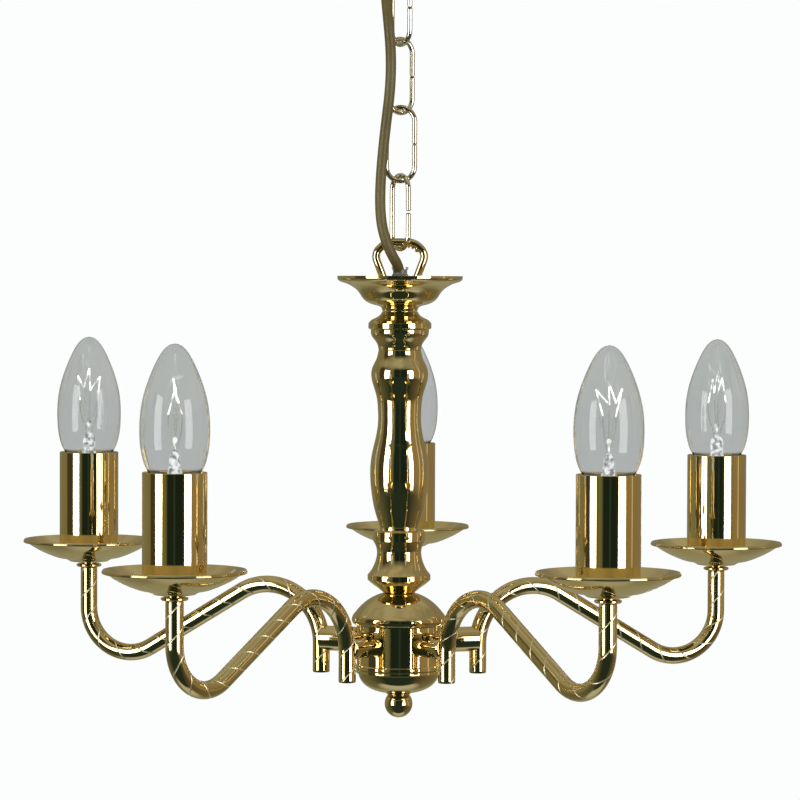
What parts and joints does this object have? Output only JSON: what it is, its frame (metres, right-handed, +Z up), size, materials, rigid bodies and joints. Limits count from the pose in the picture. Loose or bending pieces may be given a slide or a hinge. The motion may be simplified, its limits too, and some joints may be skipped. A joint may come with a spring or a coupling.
{
  "type": "chandelier",
  "caption": "Polished-brass candle chandelier: turned column, hub with swept tube arms, drip pans and candle lamps, hung on an oval-link chain with its flex.",
  "frame": {"origin": "on the ceiling, at the middle of the ceiling plate's top face", "axes": "+Z up into the ceiling; the back arm points to +Y, the front of the fitting to -Y"},
  "size_m": [0.4198, 0.4027, 0.4628],
  "materials": {
    "polished_brass": "mirror polished and lacquered",
    "chain_brass": "bright brass-plated wire",
    "clear_glass": "clear",
    "lamp_mount_glass": "clear stem with fine wires",
    "lamp_cap_nickel": "nickel-plated screw cap",
    "plated_steel": "zinc plated",
    "white_plastic": "moulded",
    "clear_grip_plastic": "clear moulded",
    "flex_pvc": "gold-brown, slightly glossy sheath",
    "wire_pvc": "insulated twin wire"
  },
  "bodies": {
    "ceiling_mount": {"ceiling_plate": "plated_steel", "ceiling_hook": "polished_brass", "ceiling_cup": "polished_brass", "cup_screws": "polished_brass", "terminal_block": "white_plastic"},
    "link_5": {"chain_link_5": "chain_brass"},
    "link_4": {"chain_link_4": "chain_brass"},
    "link_3": {"chain_link_3": "chain_brass"},
    "link_2": {"chain_link_2": "chain_brass"},
    "link_1": {"chain_link_1": "chain_brass"},
    "fixture": {"hanging_loop": "polished_brass", "cord_grip": "clear_grip_plastic", "supply_flex": "flex_pvc", "centre_rod": "plated_steel", "rod_nuts": "plated_steel", "top_dish": "polished_brass", "upper_collar": "polished_brass", "baluster": "polished_brass", "lower_collar": "polished_brass", "hub_dome": "polished_brass", "hub_body": "polished_brass", "bottom_dish": "polished_brass", "ball_finial": "polished_brass", "hub_terminal": "white_plastic", "arm_nuts": "plated_steel", "arm_wires": "wire_pvc", "pan_collars": "polished_brass", "lampholders": "white_plastic", "arm_1": "polished_brass", "arm_2": "polished_brass", "arm_3": "polished_brass", "arm_4": "polished_brass", "arm_5": "polished_brass", "drip_pan_1": "polished_brass", "drip_pan_2": "polished_brass", "drip_pan_3": "polished_brass", "drip_pan_4": "polished_brass", "drip_pan_5": "polished_brass"},
    "candle_1": {"candle_tube_1": "polished_brass"},
    "lamp_1": {"bulb_glass_1": "clear_glass", "bulb_cap_1": "lamp_cap_nickel", "bulb_filament_1": "lamp_mount_glass"},
    "candle_2": {"candle_tube_2": "polished_brass"},
    "lamp_2": {"bulb_glass_2": "clear_glass", "bulb_cap_2": "lamp_cap_nickel", "bulb_filament_2": "lamp_mount_glass"},
    "candle_3": {"candle_tube_3": "polished_brass"},
    "lamp_3": {"bulb_glass_3": "clear_glass", "bulb_cap_3": "lamp_cap_nickel", "bulb_filament_3": "lamp_mount_glass"},
    "candle_4": {"candle_tube_4": "polished_brass"},
    "lamp_4": {"bulb_glass_4": "clear_glass", "bulb_cap_4": "lamp_cap_nickel", "bulb_filament_4": "lamp_mount_glass"},
    "candle_5": {"candle_tube_5": "polished_brass"},
    "lamp_5": {"bulb_glass_5": "clear_glass", "bulb_cap_5": "lamp_cap_nickel", "bulb_filament_5": "lamp_mount_glass"}
  },
  "joints": [
    {"name": "link_5_swing", "type": "hinge", "parent": "ceiling_mount", "child": "link_5", "pos_m": [0, 0, -0.0299], "axis": [1, 0, 0], "range_deg": [-12, 12]},
    {"name": "link_4_swing", "type": "hinge", "parent": "link_5", "child": "link_4", "pos_m": [0, 0, -0.06535], "axis": [0.766, 0.6428, 0], "range_deg": [-20, 20]},
    {"name": "link_3_swing", "type": "hinge", "parent": "link_4", "child": "link_3", "pos_m": [0, 0, -0.10175], "axis": [0.6428, -0.766, 0], "range_deg": [-20, 20]},
    {"name": "link_2_swing", "type": "hinge", "parent": "link_3", "child": "link_2", "pos_m": [0, 0, -0.13815], "axis": [0.788, 0.6157, 0], "range_deg": [-20, 20]},
    {"name": "link_1_swing", "type": "hinge", "parent": "link_2", "child": "link_1", "pos_m": [0, 0, -0.17455], "axis": [0.9903, -0.1392, 0], "range_deg": [-20, 20]},
    {"name": "fixture_swing", "type": "hinge", "parent": "link_1", "child": "fixture", "pos_m": [0, 0, -0.21095], "axis": [0.5878, -0.809, 0], "range_deg": [-20, 20], "deforming": ["supply_flex"]},
    {"name": "candle_1_lift", "type": "slide", "parent": "fixture", "child": "candle_1", "axis": [0, 0, 1], "range_m": [0, 0.003]},
    {"name": "lamp_1_lift", "type": "slide", "parent": "fixture", "child": "lamp_1", "axis": [0, 0, 1], "range_m": [0, 0.06]},
    {"name": "candle_2_lift", "type": "slide", "parent": "fixture", "child": "candle_2", "axis": [0, 0, 1], "range_m": [0, 0.003]},
    {"name": "lamp_2_lift", "type": "slide", "parent": "fixture", "child": "lamp_2", "axis": [0, 0, 1], "range_m": [0, 0.06]},
    {"name": "candle_3_lift", "type": "slide", "parent": "fixture", "child": "candle_3", "axis": [0, 0, 1], "range_m": [0, 0.003]},
    {"name": "lamp_3_lift", "type": "slide", "parent": "fixture", "child": "lamp_3", "axis": [0, 0, 1], "range_m": [0, 0.06]},
    {"name": "candle_4_lift", "type": "slide", "parent": "fixture", "child": "candle_4", "axis": [0, 0, 1], "range_m": [0, 0.003]},
    {"name": "lamp_4_lift", "type": "slide", "parent": "fixture", "child": "lamp_4", "axis": [0, 0, 1], "range_m": [0, 0.06]},
    {"name": "candle_5_lift", "type": "slide", "parent": "fixture", "child": "candle_5", "axis": [0, 0, 1], "range_m": [0, 0.003]},
    {"name": "lamp_5_lift", "type": "slide", "parent": "fixture", "child": "lamp_5", "axis": [0, 0, 1], "range_m": [0, 0.06]}
  ]
}
